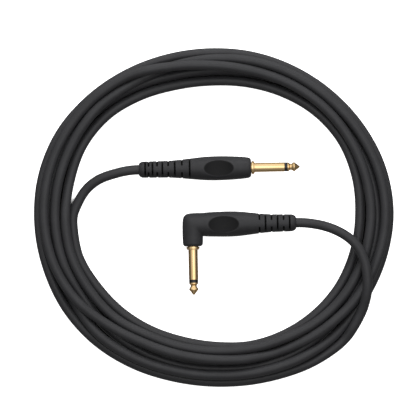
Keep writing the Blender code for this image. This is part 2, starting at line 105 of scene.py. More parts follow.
# Settling.  Only samples within NEAR_REACH in plan and at least NEAR_APART samples apart along the cable can
# touch.  The cable sinks by SINK_STEP in each of the first SINKING_ROUNDS, and then only comes to rest.
NEAR_REACH = 1.35 * CABLE_DIAMETER
NEAR_APART = 25
STACKED_RISE = 0.15 * LAYER_RISE
SETTLE_ROUNDS = 500
SINKING_ROUNDS = 400
SINK_STEP = 0.00008
SINKING_STIFFNESS = 0.3
RESTING_STIFFNESS = 0.1
SMOOTHING_PASSES = 2
CONTACT_PASSES = 3
CONTACT_PUSH = 1.3
PULL_HOME = 0.04

# Plugs.  Distances are behind the front face of the collar, which is CONTACT_REAR ahead of the sleeve's
# rear end.
CONTACT_REAR = 0.0060
COLUMNS = 128
SHARP_ANGLE = math.radians(40)
OUTLINE_STEPS = 8
LEG_STEPS = 6
CAVITY_START = 0.0038
CAVITY_RADIUS = 0.0056
CAVITY_END = 0.0240
BORE_RADIUS = CABLE_RADIUS + 0.00004
FRONT_HOLE = 0.0039
SLOT_WIDTH = 0.0011
SLOT_DEPTH = 0.0019
SLOT_LIP = 0.00018
SLOT_FILLET = 0.00052
SLOT_LIP_PARTS = (1.0, 0.6, 0.3, 0.1, 0.02)
SLOT_FLOOR_PARTS = (0.02, 0.15, 0.4, 1.0)
SLOT_HALF_ANGLE = math.radians(66)
SLOT_END_BLEND = math.radians(6)
SLOT_WEB_ANGLE = math.radians(6)
SLOT_WEB_DIP = 0.22
# The scoop is the lower half of an ellipsoid with these half axes across, up and along the body.
SCOOP_AXES = (0.0300, 0.0100, 0.0170)
SCOOP_RIM = 0.00025
SCOOP_HALF_SPAN = 0.0115
SCOOP_STEP = 0.0003
# The scoop's painted shade and duller finish fill an ellipsoid at SCOOP_RISE, with half axes along the
# plug's own X, Y and Z.
SCOOP_RISE = 0.0075
STRAIGHT_DISH = (0.0055, 0.0060, 0.0102)
ARM_DISH = (0.0106, 0.0060, 0.0057)

# Straight plug.  Outlines are (distance, radius), and slots are distances from the strain relief's end.
STRAIGHT_LENGTH = 0.0792
STRAIGHT_OUTLINE = (
    (0.0023, 0.0051), (0.0027, 0.0061), (0.0038, 0.0069), (0.0060, 0.0073), (0.0100, 0.0077),
    (0.0170, 0.0081), (0.0240, 0.0083), (0.0310, 0.0082), (0.0370, 0.0078), (0.0420, 0.0073),
    (0.0470, 0.0068), (0.0530, 0.0062), (0.0600, 0.0058), (0.0750, 0.0056), (0.0772, 0.0054),
    (0.0786, 0.0047), (0.0792, 0.0039),
)
STRAIGHT_SLOT_COUNT = 9
STRAIGHT_FIRST_SLOT = 0.0043
STRAIGHT_PITCH = 0.0023
STRAIGHT_PITCH_GROWTH = 0.00043
STRAIGHT_SLOTS = [STRAIGHT_FIRST_SLOT + step * (STRAIGHT_PITCH + STRAIGHT_PITCH_GROWTH * (step - 1) / 2)
                  for step in range(STRAIGHT_SLOT_COUNT)]
STRAIGHT_SCOOP_AT = 0.0245
STRAIGHT_SCOOP_FLOOR = 0.0060

# Right-angle plug.  The leg holds the shaft.  The arm runs along the cable, ARM_DROP behind the collar's
# face, and its own distances are from the leg's axis.
ARM_DROP = 0.01715
ARM_LENGTH = 0.07095
LEG_OUTLINE = (
    (0.0023, 0.0051), (0.0027, 0.0060), (0.0038, 0.0068), (0.0060, 0.00695), (0.0090, 0.00705),
)
LEG_RADIUS = 0.00705
ARM_START_RADIUS = 0.0080
ARM_OUTLINE = (
    (0.00705, 0.0080), (0.0100, 0.0083), (0.0155, 0.0085), (0.0240, 0.0087), (0.0310, 0.0085),
    (0.0370, 0.0079), (0.0430, 0.0072), (0.0490, 0.0065), (0.0560, 0.0061), (0.0665, 0.0059),
    (0.0688, 0.0056), (0.0703, 0.0048), (0.07095, 0.0039),
)
ARM_SLOT_COUNT = 6
ARM_FIRST_SLOT = 0.00445
ARM_PITCH = 0.00413
ARM_SLOTS = [ARM_FIRST_SLOT + step * ARM_PITCH for step in range(ARM_SLOT_COUNT)]
ARM_SCOOP_AT = 0.0213
ARM_SCOOP_FLOOR = 0.0063
CORNER_POWER = 6.0
ELBOW_STEPS = 33
CAVITY_ELBOW_STEPS = 9

# View: the width seen at the plugs' height, its middle, and how far the camera is turned about the vertical.
VIEW_WIDTH = 0.2850
VIEW_MIDDLE = Vector((-0.00833, 0.01198, 0.0085))
VIEW_TURN = math.radians(-1.12)
LENS = 400
SENSOR = 36
CLIP_END = 20

# Light.  The dome's strength is DOME_DIM everywhere, and above the horizon it gains DOME_SLOPE, from -Y to
# +Y.  The horizon is where a direction's product with DOME_LEAN passes between the two edges.  Towards -X
# and +X the gain falls to the part SIDE_DIM of itself.  LOW_GLOW is what a pale table throws up from -Y.
# Of the two panels, only the top one is mirrored in shiny parts.
DOME_DIM = 0.10
DOME_SLOPE = (0.20, 1.00)
DOME_LEAN = (0.0, 0.8, 1.0)
DOME_EDGE = (-0.1, 0.55)
SIDE_DIM = 0.15
SIDE_EDGE = (0.6, 1.0)
LOW_GLOW = 0.18
LOW_LEAN = (0.0, -1.0, -0.4)
LOW_EDGE = (0.0, 0.9)
TOP_PLACE = (0.12, 0.12, 1.2)
TOP_SIZE = (1.2, 0.8)
TOP_POWER = 2.7
KEY_PLACE = (0.05, 0.85, 0.60)
KEY_SIZE = (0.8, 0.5)
KEY_POWER = 9.0

# Floor.  Its glow and colour are cut to painted shade where less than the given share of the directions is
# open within SHADE_REACH.
FLOOR_HALF = 3.0
FLOOR_DROP = 0.00005
FLOOR_ROUGHNESS = 0.9
SHADE_REACH = 0.012
SHADE_SAMPLES = 64
SHADE_EDGES = (0.20, 0.30)


# ---------------------------------------------------------------------------------------------------
# The plugs' places in the frame: the middle of each collar's front face.

def box_middle(node):
    low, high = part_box(node)
    return (Vector(low) + Vector(high)) / 2


STRAIGHT_ORIGIN = box_middle("straight_sleeve_contact")
STRAIGHT_ORIGIN.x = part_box("straight_sleeve_contact")[0][0] + CONTACT_REAR
ANGLED_ORIGIN = box_middle("angled_sleeve_contact")
ANGLED_ORIGIN.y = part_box("angled_sleeve_contact")[1][1] - CONTACT_REAR


# ---------------------------------------------------------------------------------------------------
# Camera, light and floor.

def add_camera():
    data = bpy.data.cameras.new("camera")
    data.lens = LENS
    data.sensor_width = SENSOR
    data.clip_end = CLIP_END
    camera = bpy.data.objects.new("camera", data)
    camera.location = VIEW_MIDDLE + Vector((0, 0, VIEW_WIDTH * LENS / SENSOR))
    camera.rotation_euler = (0, 0, VIEW_TURN)
    bpy.context.collection.objects.link(camera)
    bpy.context.scene.camera = camera


def add_panel(name, place, size, power, mirrored=True):
    """A flat soft light that faces the origin, with or without its reflection on shiny parts."""
    data = bpy.data.lights.new(name, "AREA")
    data.shape = "RECTANGLE"
    data.size, data.size_y = size
    data.energy = power
    panel = bpy.data.objects.new(name, data)
    panel.location = place
    panel.rotation_euler = Vector(place).to_track_quat("Z", "Y").to_euler()
    panel.visible_camera = False
    panel.visible_glossy = mirrored
    bpy.context.collection.objects.link(panel)


def add_world():
    """A wide soft dome: bright towards +Y, dim towards -Y, -X and +X, and with a faint low glow from -Y."""
    world = bpy.data.worlds.new("studio")
    world.use_nodes = True
    tree = world.node_tree
    direction = tree.nodes.new("ShaderNodeTexCoord").outputs["Generated"]

    def along(axis):
        product = tree.nodes.new("ShaderNodeVectorMath")
        product.operation = "DOT_PRODUCT"
        product.inputs[1].default_value = axis
        tree.links.new(direction, product.inputs[0])
        return product.outputs["Value"]

    def ranged(value, edges, values, blend="SMOOTHSTEP"):
        ramp = tree.nodes.new("ShaderNodeMapRange")
        ramp.interpolation_type = blend
        for socket, number in zip(("From Min", "From Max", "To Min", "To Max"), edges + values):
            ramp.inputs[socket].default_value = number
        tree.links.new(value, ramp.inputs["Value"])
        return ramp.outputs["Result"]

    def combined(operation, one, other):
        node = tree.nodes.new("ShaderNodeMath")
        node.operation = operation
        for socket, value in zip(node.inputs, (one, other)):
            if isinstance(value, float):
                socket.default_value = value
            else:
                tree.links.new(value, socket)
        return node.outputs["Value"]

    slope = ranged(along((0.0, 1.0, 0.0)), (-1.0, 1.0), DOME_SLOPE, "LINEAR")
    height = ranged(along(DOME_LEAN), DOME_EDGE, (0.0, 1.0))
    across = along((1.0, 0.0, 0.0))
    sideways = combined("MAXIMUM", across, combined("MULTIPLY", across, -1.0))
    middle = ranged(sideways, SIDE_EDGE, (1.0, SIDE_DIM))
    bright = combined("MULTIPLY", combined("MULTIPLY", slope, height), middle)
    low = ranged(along(LOW_LEAN), LOW_EDGE, (DOME_DIM, DOME_DIM + LOW_GLOW))
    strength = combined("ADD", bright, low)
    backdrop = tree.nodes["Background"]
    backdrop.inputs["Color"].default_value = (1, 1, 1, 1)
    tree.links.new(strength, backdrop.inputs["Strength"])
    bpy.context.scene.world = world


def add_studio():
    bpy.context.scene.view_settings.view_transform = "Standard"
    add_world()
    add_panel("key_panel", KEY_PLACE, KEY_SIZE, KEY_POWER, False)
    add_panel("top_panel", TOP_PLACE, TOP_SIZE, TOP_POWER)


def add_floor():
    """Pale paper that glows evenly white, with painted shade where turns of the cable close it in on both
    sides.
    """
    signs = ((-1, -1), (1, -1), (1, 1), (-1, 1))
    corners = [(FLOOR_HALF * across, FLOOR_HALF * along, 0) for across, along in signs]
    mesh = bpy.data.meshes.new("floor")
    mesh.from_pydata(corners, [], [(0, 1, 2, 3)])
    floor = bpy.data.objects.new("floor", mesh)
    floor.location.z = -FLOOR_DROP
    floor.visible_glossy = False
    floor.visible_diffuse = False
    paper = bpy.data.materials.new("pale_floor")
    paper.use_nodes = True
    tree = paper.node_tree
    shader = tree.nodes["Principled BSDF"]
    shader.inputs["Roughness"].default_value = FLOOR_ROUGHNESS
    shader.inputs["Emission Color"].default_value = (1, 1, 1, 1)
    shade = tree.nodes.new("ShaderNodeAmbientOcclusion")
    shade.samples = SHADE_SAMPLES
    shade.inputs["Distance"].default_value = SHADE_REACH
    # Painted shade: the floor's glow and colour fall to black in the narrow gaps between turns of the cable.
    glow_outside_painted_shade = tree.nodes.new("ShaderNodeMapRange")
    glow_outside_painted_shade.inputs["From Min"].default_value = SHADE_EDGES[0]
    glow_outside_painted_shade.inputs["From Max"].default_value = SHADE_EDGES[1]
    tree.links.new(shade.outputs["AO"], glow_outside_painted_shade.inputs["Value"])
    tree.links.new(glow_outside_painted_shade.outputs["Result"], shader.inputs["Emission Strength"])
    tree.links.new(glow_outside_painted_shade.outputs["Result"], shader.inputs["Base Color"])
    mesh.materials.append(paper)
    bpy.context.collection.objects.link(floor)


# ---------------------------------------------------------------------------------------------------
# Cable.

def smooth_points(points, steps):
    """Points on a smooth curve through the given ones, with a number of steps between each two."""
    knots = np.array(points, float)
    knots = np.vstack((2 * knots[0] - knots[1], knots, 2 * knots[-1] - knots[-2]))
    part = (np.arange(steps) / steps)[:, None]
    pieces = []
    for before, start, end, after in zip(knots, knots[1:], knots[2:], knots[3:]):
        slope = end - before
        curve = 2 * before - 5 * start + 4 * end - after
        twist = 3 * start - before - 3 * end + after
        pieces.append(0.5 * (2 * start + slope * part + curve * part ** 2 + twist * part ** 3))
    return np.vstack(pieces + [knots[-2]])


def evenly(points, spacing):
    """The same line with evenly spaced points."""
    walked = np.concatenate(([0], np.cumsum(np.linalg.norm(np.diff(points, axis=0), axis=1))))
    wanted = np.linspace(0, walked[-1], round(walked[-1] / spacing) + 1)
    return np.stack([np.interp(wanted, walked, points[:, axis]) for axis in range(3)], axis=1)


def coil_points():
    """The coil's stations, turn by turn, each at its layer's height."""
    points = []
    radii = [radius / 1000 for row in TURNS for radius in row]
    layers = [int(layer) for row in LAYERS for layer in row]
    for station, (radius, layer) in enumerate(zip(radii, layers)):
        angle = math.radians(TURN_START + STATION_STEP * station)
        across = COIL_CENTRE.x + radius * math.cos(angle)
        along = COIL_CENTRE.y + radius * math.sin(angle)
        points.append((across, along, CABLE_RADIUS + layer * LAYER_RISE))
    return points


def close_pairs(line, reach, apart):
    """The index pairs of samples that lie near each other in plan, on different stretches."""
    first, second = [], []
    for index in range(len(line)):
        later = np.arange(index + apart, len(line))
        gaps = np.hypot(line[later, 0] - line[index, 0], line[later, 1] - line[index, 1])
        near = later[gaps < reach]
        first.append(np.full(len(near), index))
        second.append(near)
    return np.concatenate(first), np.concatenate(second)


def settle(line, held_start, held_end):
    """Rests the cable on the floor and on itself.  Where two stretches cross, the one that is higher in the
    drawn line lies on the other.  Where they run side by side they move apart.  Both held ends stay put.
    """
    spot = line.copy()
    count = len(line)
    free = np.ones((count, 1))
    free[:held_start] = 0
    free[count - held_end:] = 0
    one, other = close_pairs(line, NEAR_REACH, NEAR_APART)
    above = line[one, 2] - line[other, 2]
    stacked = np.abs(above) > STACKED_RISE
    side = np.sign(above)
    for turn in range(SETTLE_ROUNDS):
        sinking = turn < SINKING_ROUNDS
        if sinking:
            spot[:, 2] -= SINK_STEP * free[:, 0]
        stiffness = SINKING_STIFFNESS if sinking else RESTING_STIFFNESS
        for _ in range(SMOOTHING_PASSES):
            bent = spot.copy()
            bent[:, :2] -= line[:, :2]
            bent[1:-1] = (bent[:-2] + bent[2:]) / 2 - bent[1:-1]
            bent[0] = bent[-1] = 0
            spot += stiffness * bent * free
        spot[:, :2] += PULL_HOME * (line[:, :2] - spot[:, :2]) * free
        for _ in range(CONTACT_PASSES):
            apart = spot[one] - spot[other]
            flat = np.hypot(apart[:, 0], apart[:, 1])
            rise = np.sqrt(np.clip(CABLE_DIAMETER ** 2 - flat ** 2, 0, None)) - side * apart[:, 2]
            lift = np.where(stacked & (flat < CABLE_DIAMETER), np.clip(rise, 0, None), 0)
            reach = np.sqrt(np.clip(CABLE_DIAMETER ** 2 - apart[:, 2] ** 2, 0, None)) - flat
            shove = np.where(stacked, 0, np.clip(reach, 0, None))
            push = np.zeros_like(apart)
            push[:, :2] = apart[:, :2] * (shove / 2 / flat)[:, None]
            push[:, 2] = side * lift / 2
            touch = (lift > 0) | (shove > 0)
            moved = np.zeros_like(spot)
            touches = np.zeros((count, 1))
            np.add.at(moved, one[touch], push[touch])
            np.add.at(moved, other[touch], -push[touch])
            np.add.at(touches, one[touch], 1)
            np.add.at(touches, other[touch], 1)
            spot += CONTACT_PUSH * moved / np.maximum(touches, 1) * free
            low = (free[:, 0] > 0) & (spot[:, 2] < CABLE_RADIUS)
            spot[low, 2] = CABLE_RADIUS
    return spot


def cable_route():
    stations = list(STRAIGHT_TAIL) + coil_points() + list(reversed(ANGLED_TAIL))
    line = evenly(smooth_points(stations, ROUTE_STEPS), SAMPLE_SPACING)
    settled = settle(line, round(STRAIGHT_HELD / SAMPLE_SPACING), round(ANGLED_HELD / SAMPLE_SPACING))
    return evenly(settled, CURVE_SPACING)


def add_cable(finishes):
    curve = bpy.data.curves.new("cable", "CURVE")
    curve.dimensions = "3D"
    curve.bevel_depth = CABLE_RADIUS
    curve.bevel_resolution = 8
    curve.use_fill_caps = True
    curve.resolution_u = 4
    route = cable_route()
    spline = curve.splines.new("NURBS")
    spline.points.add(len(route) - 1)
    spline.points.foreach_set("co", np.hstack((route, np.ones((len(route), 1)))).ravel())
    spline.order_u = 4
    spline.use_endpoint_u = True
    curve.materials.append(finishes["cable_jacket"])
    cable = bpy.data.objects.new("cable", curve)
    bpy.context.collection.objects.link(cable)
    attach(cable, "root")
    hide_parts("cable_coil", "cable_tail_straight", "cable_tail_angled")


# ---------------------------------------------------------------------------------------------------
# Meshes from rings of points.

def ring_body(name, rings, material, placement, joined):
    """A smooth body that joins each ring to the next.  A ring of one point is a pole."""
    points = np.vstack(rings)
    starts = np.concatenate(([0], np.cumsum([len(ring) for ring in rings])))
    faces = []
    pairs = list(zip(range(len(rings)), range(1, len(rings))))
    if joined:
        pairs.append((len(rings) - 1, 0))
    for near, far in pairs:
        near_count, far_count = len(rings[near]), len(rings[far])
        for index in range(max(near_count, far_count)):
            after = (index + 1) % max(near_count, far_count)
            corners = (starts[near] + index % near_count, starts[near] + after % near_count,
                       starts[far] + after % far_count, starts[far] + index % far_count)
            faces.append(tuple(dict.fromkeys(int(corner) for corner in corners)))
    mesh = bpy.data.meshes.new(name)
    mesh.from_pydata(points.tolist(), [], faces)
    mesh.validate()
    mesh.shade_smooth()
    mesh.set_sharp_from_angle(angle=SHARP_ANGLE)
    mesh.materials.append(material)
    piece = bpy.data.objects.new(name, mesh)
    piece.matrix_world = placement
    bpy.context.collection.objects.link(piece)
    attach(piece, "root")
    return piece


def circle(radius, height, count=COLUMNS):
    if radius == 0:
        return np.array([[0, 0, height]])
    turn = np.arange(count) * 2 * math.pi / count
    return np.stack((radius * np.cos(turn), radius * np.sin(turn), np.full(count, height)), axis=1)


# ---------------------------------------------------------------------------------------------------
# Moulded bodies.  A plug's own frame has +Z towards its tip and +Y up.

def groove_stations(centre):
    wall = SLOT_WIDTH / 2
    offsets = [wall + SLOT_LIP * part for part in SLOT_LIP_PARTS]
    offsets += [wall - SLOT_FILLET * part for part in SLOT_FLOOR_PARTS]
    return [centre + side * offset for side in (-1, 1) for offset in offsets] + [centre]


def groove_depth(offset):
    """The depth of a slot with a rounded lip and a filleted floor."""
    wall = SLOT_WIDTH / 2
    gap = np.abs(offset)
    lip = SLOT_LIP - np.sqrt(np.clip(SLOT_LIP ** 2 - (wall + SLOT_LIP - gap) ** 2, 0, None))
    fillet = np.sqrt(np.clip(SLOT_FILLET ** 2 - (gap - wall + SLOT_FILLET) ** 2, 0, None))
    floor = SLOT_DEPTH - SLOT_FILLET + fillet
    depth = np.where(gap >= wall + SLOT_LIP, 0, np.where(gap >= wall, lip, floor))
    return np.where(gap < wall - SLOT_FILLET, SLOT_DEPTH, depth)


def smooth_step(value):
    value = np.clip(value, 0, 1)
    return value * value * (3 - 2 * value)


def body_sections(outline, length, slots, scoop_at, scoop_floor):
    """Stations along the cable, each one's section as (side, up) offsets from the axis, and how deep in a
    slot each point lies, from 0 to 1, which sets the painted shade in the slots.  Every second slot is cut
    from the sides and has a web at mid-height.
    """
    profile = smooth_points([(distance, radius, 0) for distance, radius in outline], OUTLINE_STEPS)
    centres = [length - slot for slot in slots]
    dish = np.arange(scoop_at - SCOOP_HALF_SPAN, scoop_at + SCOOP_HALF_SPAN, SCOOP_STEP)
    grooves = [groove_stations(centre) for centre in centres]
    stations = np.unique(np.round(np.concatenate([profile[:, 0], dish] + grooves), 6))
    stations = stations[(stations >= outline[0][0]) & (stations <= outline[-1][0])]
    radius = np.interp(stations, profile[:, 0], profile[:, 1])[:, None]
    turn = (np.arange(COLUMNS) * 2 * math.pi / COLUMNS)[None, :]
    radius = np.repeat(radius, COLUMNS, axis=1)
    slot_shade_depth = np.zeros_like(radius)
    for count, centre in enumerate(centres):
        from_sides = count % 2 == 1
        middle = 0 if from_sides else math.pi / 2
        away = np.abs((turn - middle + math.pi / 2) % math.pi - math.pi / 2)
        window = smooth_step((SLOT_HALF_ANGLE - away) / SLOT_END_BLEND + 0.5)
        if from_sides:
            web = smooth_step((SLOT_WEB_ANGLE - away) / SLOT_END_BLEND + 0.5)
            window *= 1 - (1 - SLOT_WEB_DIP) * web
        cut = groove_depth(stations - centre)[:, None] * window
        radius = radius - cut
        slot_shade_depth = np.maximum(slot_shade_depth, cut / SLOT_DEPTH)
    side = radius * np.cos(turn)
    up = radius * np.sin(turn)
    inside = 1 - (side / SCOOP_AXES[0]) ** 2 - ((stations[:, None] - scoop_at) / SCOOP_AXES[2]) ** 2
    dished = scoop_floor + SCOOP_AXES[1] * (1 - np.sqrt(np.clip(inside, 0, 1)))
    rounded = (up + dished - np.sqrt((up - dished) ** 2 + SCOOP_RIM ** 2)) / 2
    rounded = rounded + SCOOP_RIM ** 2 / (8 * np.maximum(np.abs(up - dished), SCOOP_RIM))
    up = np.where((up > 0) & (inside > 0), np.minimum(up, rounded), up)
    return stations, side, up, slot_shade_depth


def add_slot_shade_depth(body, depths, start):
    """Stores how deep in a slot each vertex lies, from the given one on, for the painted shade in the slots.
    """
    values = np.zeros(len(body.data.vertices))
    values[start:start + len(depths)] = depths
    layer = body.data.attributes.new("slot_shade_depth", "FLOAT", "POINT")
    layer.data.foreach_set("value", values)


def straight_body(finishes, placement):
    stations, side, up, slot_shade_depth = body_sections(STRAIGHT_OUTLINE, STRAIGHT_LENGTH, STRAIGHT_SLOTS,
                                               STRAIGHT_SCOOP_AT, STRAIGHT_SCOOP_FLOOR)
    rings = [np.stack((x, y, np.full(COLUMNS, -distance)), axis=1)
             for distance, x, y in zip(stations, side, up)]
    inside = ((STRAIGHT_LENGTH, BORE_RADIUS), (CAVITY_END, BORE_RADIUS), (CAVITY_END, CAVITY_RADIUS),
              (CAVITY_START, CAVITY_RADIUS), (CAVITY_START, FRONT_HOLE),
              (STRAIGHT_OUTLINE[0][0], FRONT_HOLE))
    rings += [circle(radius, -distance) for distance, radius in inside]
    body = ring_body("straight_plug_body", rings, finishes["straight_body"], placement, True)
    add_slot_shade_depth(body, slot_shade_depth.ravel(), 0)
    return body


def arm_ring(distance, side, up):
    """A section of the arm, from its offsets towards the tip and up."""
    return np.stack((np.full(COLUMNS, distance), up, -ARM_DROP + side), axis=1)


def round_arm_ring(distance, radius):
    flat = circle(radius, 0)
    return arm_ring(distance, flat[:, 0], flat[:, 1])


def elbow_rings(leg_radius, arm_radius, steps):
    """Sections that fan about the inner corner, from the leg round to the arm, with a tight outer corner."""
    unit = circle(1.0, 0)
    rings = []
    for turn in np.linspace(0, math.pi / 2, steps):
        leg_part = (math.cos(turn) / (2 * leg_radius)) ** CORNER_POWER
        arm_part = (math.sin(turn) / (2 * arm_radius)) ** CORNER_POWER
        reach = (leg_part + arm_part) ** (-1 / CORNER_POWER)
        half_height = leg_radius + (arm_radius - leg_radius) * turn / (math.pi / 2)
        out = reach * (1 - unit[:, 0]) / 2
        along_arm = leg_radius - out * math.cos(turn)
        along_leg = arm_radius - ARM_DROP - out * math.sin(turn)
        rings.append(np.stack((along_arm, half_height * unit[:, 1], along_leg), axis=1))
    return rings


def angled_body(finishes, placement):
    stations, side, up, slot_shade_depth = body_sections(ARM_OUTLINE, ARM_LENGTH, ARM_SLOTS,
                                               ARM_SCOOP_AT, ARM_SCOOP_FLOOR)
    leg = smooth_points([(distance, radius, 0) for distance, radius in LEG_OUTLINE], LEG_STEPS)
    rings = [circle(radius, -distance) for distance, radius, _ in leg]
    rings += elbow_rings(LEG_RADIUS, ARM_START_RADIUS, ELBOW_STEPS)
    start = sum(len(ring) for ring in rings)
    rings += [arm_ring(distance, x, y) for distance, x, y in zip(stations[1:], side[1:], up[1:])]
    bore = ((ARM_LENGTH, BORE_RADIUS), (CAVITY_END, BORE_RADIUS), (CAVITY_END, CAVITY_RADIUS))
    rings += [round_arm_ring(distance, radius) for distance, radius in bore]
    rings += reversed(elbow_rings(CAVITY_RADIUS, CAVITY_RADIUS, CAVITY_ELBOW_STEPS))
    mouth = ((CAVITY_START, CAVITY_RADIUS), (CAVITY_START, FRONT_HOLE), (LEG_OUTLINE[0][0], FRONT_HOLE))
    rings += [circle(radius, -distance) for distance, radius in mouth]
    body = ring_body("angled_plug_body", rings, finishes["angled_body"], placement, True)
    add_slot_shade_depth(body, slot_shade_depth[1:].ravel(), start)
    return body


# ---------------------------------------------------------------------------------------------------
# Turned contacts.  A profile is (height, radius), with heights from the collar's front face towards the tip.

SLEEVE_PROFILE = (
    (-0.0060, 0.0023), (-0.0060, 0.0029), (-0.0040, 0.0029), (-0.0040, 0.0036), (-0.0020, 0.0036),
    (-0.0020, 0.0045), (-0.0007, 0.0045), (-0.0005, 0.0041), (0, 0.0041), (0, 0.003175),
    (0.0205, 0.003175), (0.0205, 0.0023),
)
RING_PROFILE = ((0.02053, 0.0014), (0.02053, 0.00312), (0.02257, 0.00312), (0.02257, 0.0014))
ROD_PROFILE = ((-0.0090, 0), (-0.0090, 0.0018), (-0.0084, 0.0018), (-0.0084, 0.0011), (0.0226, 0.0011),
               (0.0226, 0.0031), (0.0233, 0.0031))
BALL_PROFILE = ((0.0237, 0.0027), (0.0242, 0.00226), (0.0248, 0.00212), (0.0254, 0.00226),
                (0.0261, 0.00270), (0.0267, 0.00306), (0.0271, 0.00317), (0.0275, 0.00306),
                (0.0288, 0.00205), (0.0301, 0.00105))
NOSE_RADIUS = 0.0008
NOSE_ANGLES = (40, 55, 70, 82)
SHAFT_LENGTH = 0.0310
BALL_STEPS = 4
CONTACT_COLUMNS = 96
SLEEVE_EDGE = 0.00012
RING_EDGE = 0.00008
TIP_EDGE = 0.00008
BEVEL_SEGMENTS = 3
BEVEL_ANGLE = math.radians(35)


def bevel(piece, width):
    edge = piece.modifiers.new("Rounded edges", "BEVEL")
    edge.width = width
    edge.segments = BEVEL_SEGMENTS
    edge.limit_method = "ANGLE"
    edge.angle_limit = BEVEL_ANGLE
    edge.harden_normals = False


def tip_profile():
    """Rod, rivet, ball and rounded nose, from the rear to the front."""
    knots = [(height, radius, 0) for height, radius in BALL_PROFILE]
    ball = [tuple(point[:2]) for point in smooth_points(knots, BALL_STEPS)]
    centre = SHAFT_LENGTH - NOSE_RADIUS
    nose = [(centre + NOSE_RADIUS * math.sin(turn), NOSE_RADIUS * math.cos(turn))
            for turn in np.radians(NOSE_ANGLES)]
    return list(ROD_PROFILE) + ball + nose + [(SHAFT_LENGTH, 0)]


def add_contacts(prefix, finishes, placement):
    jobs = (("sleeve", SLEEVE_PROFILE, "gold_plate", "sleeve_contact", SLEEVE_EDGE, True),
            ("insulating_ring", RING_PROFILE, "black_insulator", "tip_insulator", RING_EDGE, True),
            ("tip", tip_profile(), "gold_plate", "tip_contact", TIP_EDGE, False))
    for name, profile, slot, node, width, joined in jobs:
        rings = [circle(radius, height, CONTACT_COLUMNS) for height, radius in profile]
        piece = ring_body(prefix + "_plug_" + name, rings, finishes[slot], placement, joined)
        bevel(piece, width)
        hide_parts(prefix + "_" + node)


# ---------------------------------------------------------------------------------------------------
# Finishes.

MOULDED_SPECULAR = 0.20
JACKET_DARK = (0.026, 0.026, 0.0278)
JACKET_LIGHT = (0.031, 0.031, 0.0331)
JACKET_GRAIN = (0.044, 0.044, 0.0470)
BODY_DARK = (0.023, 0.023, 0.0246)
BODY_LIGHT = (0.028, 0.028, 0.0300)
BODY_GRAIN = (0.035, 0.035, 0.0374)
BODY_ROUGHNESS = (0.38, 0.48)
# Painted shade for the scoop; the dish's roughness is its own.
DISH_PAINTED_SHADE = (0.003, 0.003, 0.0034)
DISH_ROUGHNESS = 0.50
DISH_RIM = (0.96, 1.04)
# Painted shade in the slots.
SLOT_PAINTED_SHADE = (0.001, 0.001, 0.001)
GOLD_DARK = (0.92, 0.64, 0.31)
GOLD_LIGHT = (0.97, 0.70, 0.38)
GOLD_EDGE = (0.75, 0.36, 0.12, 1)
TURNING_SCALE = (0.02, 0.02, 1.0)
SCUFF_SCALE = (1.0, 1.0, 0.3)

# The plain finishes by slot: name, darkest and lightest colour, roughness, size of the spots in metres,
# depth of the relief in metres, metallic.
PLAIN_FINISHES = {
    "black_insulator": (
        "ring_black", (0.004, 0.004, 0.005), (0.008, 0.008, 0.009), 0.28, 0.002, 0.000005, 0.0),
    "white_insulator": (
        "liner_white", (0.70, 0.69, 0.64), (0.80, 0.79, 0.75), 0.45, 0.003, 0.00002, 0.0),
    "tinned_steel": (
        "tinned", (0.50, 0.49, 0.47), (0.66, 0.65, 0.62), 0.35, 0.002, 0.00001, 1.0),
    "solder": (
        "solder", (0.48, 0.48, 0.50), (0.62, 0.62, 0.64), 0.28, 0.001, 0.00002, 1.0),
    "bare_copper": (
        "copper_strands", (0.62, 0.28, 0.15), (0.78, 0.42, 0.26), 0.32, 0.001, 0.00003, 1.0),
    "conductive_plastic": (
        "carbon_plastic", (0.012, 0.012, 0.012), (0.025, 0.025, 0.025), 0.6, 0.002, 0.00002, 0.0),
}

# Frame nodes whose finish isn't the one that their slot is called after.
FRAME_FINISHES = {"straight_overmould": "straight_body", "angled_overmould": "angled_body"}


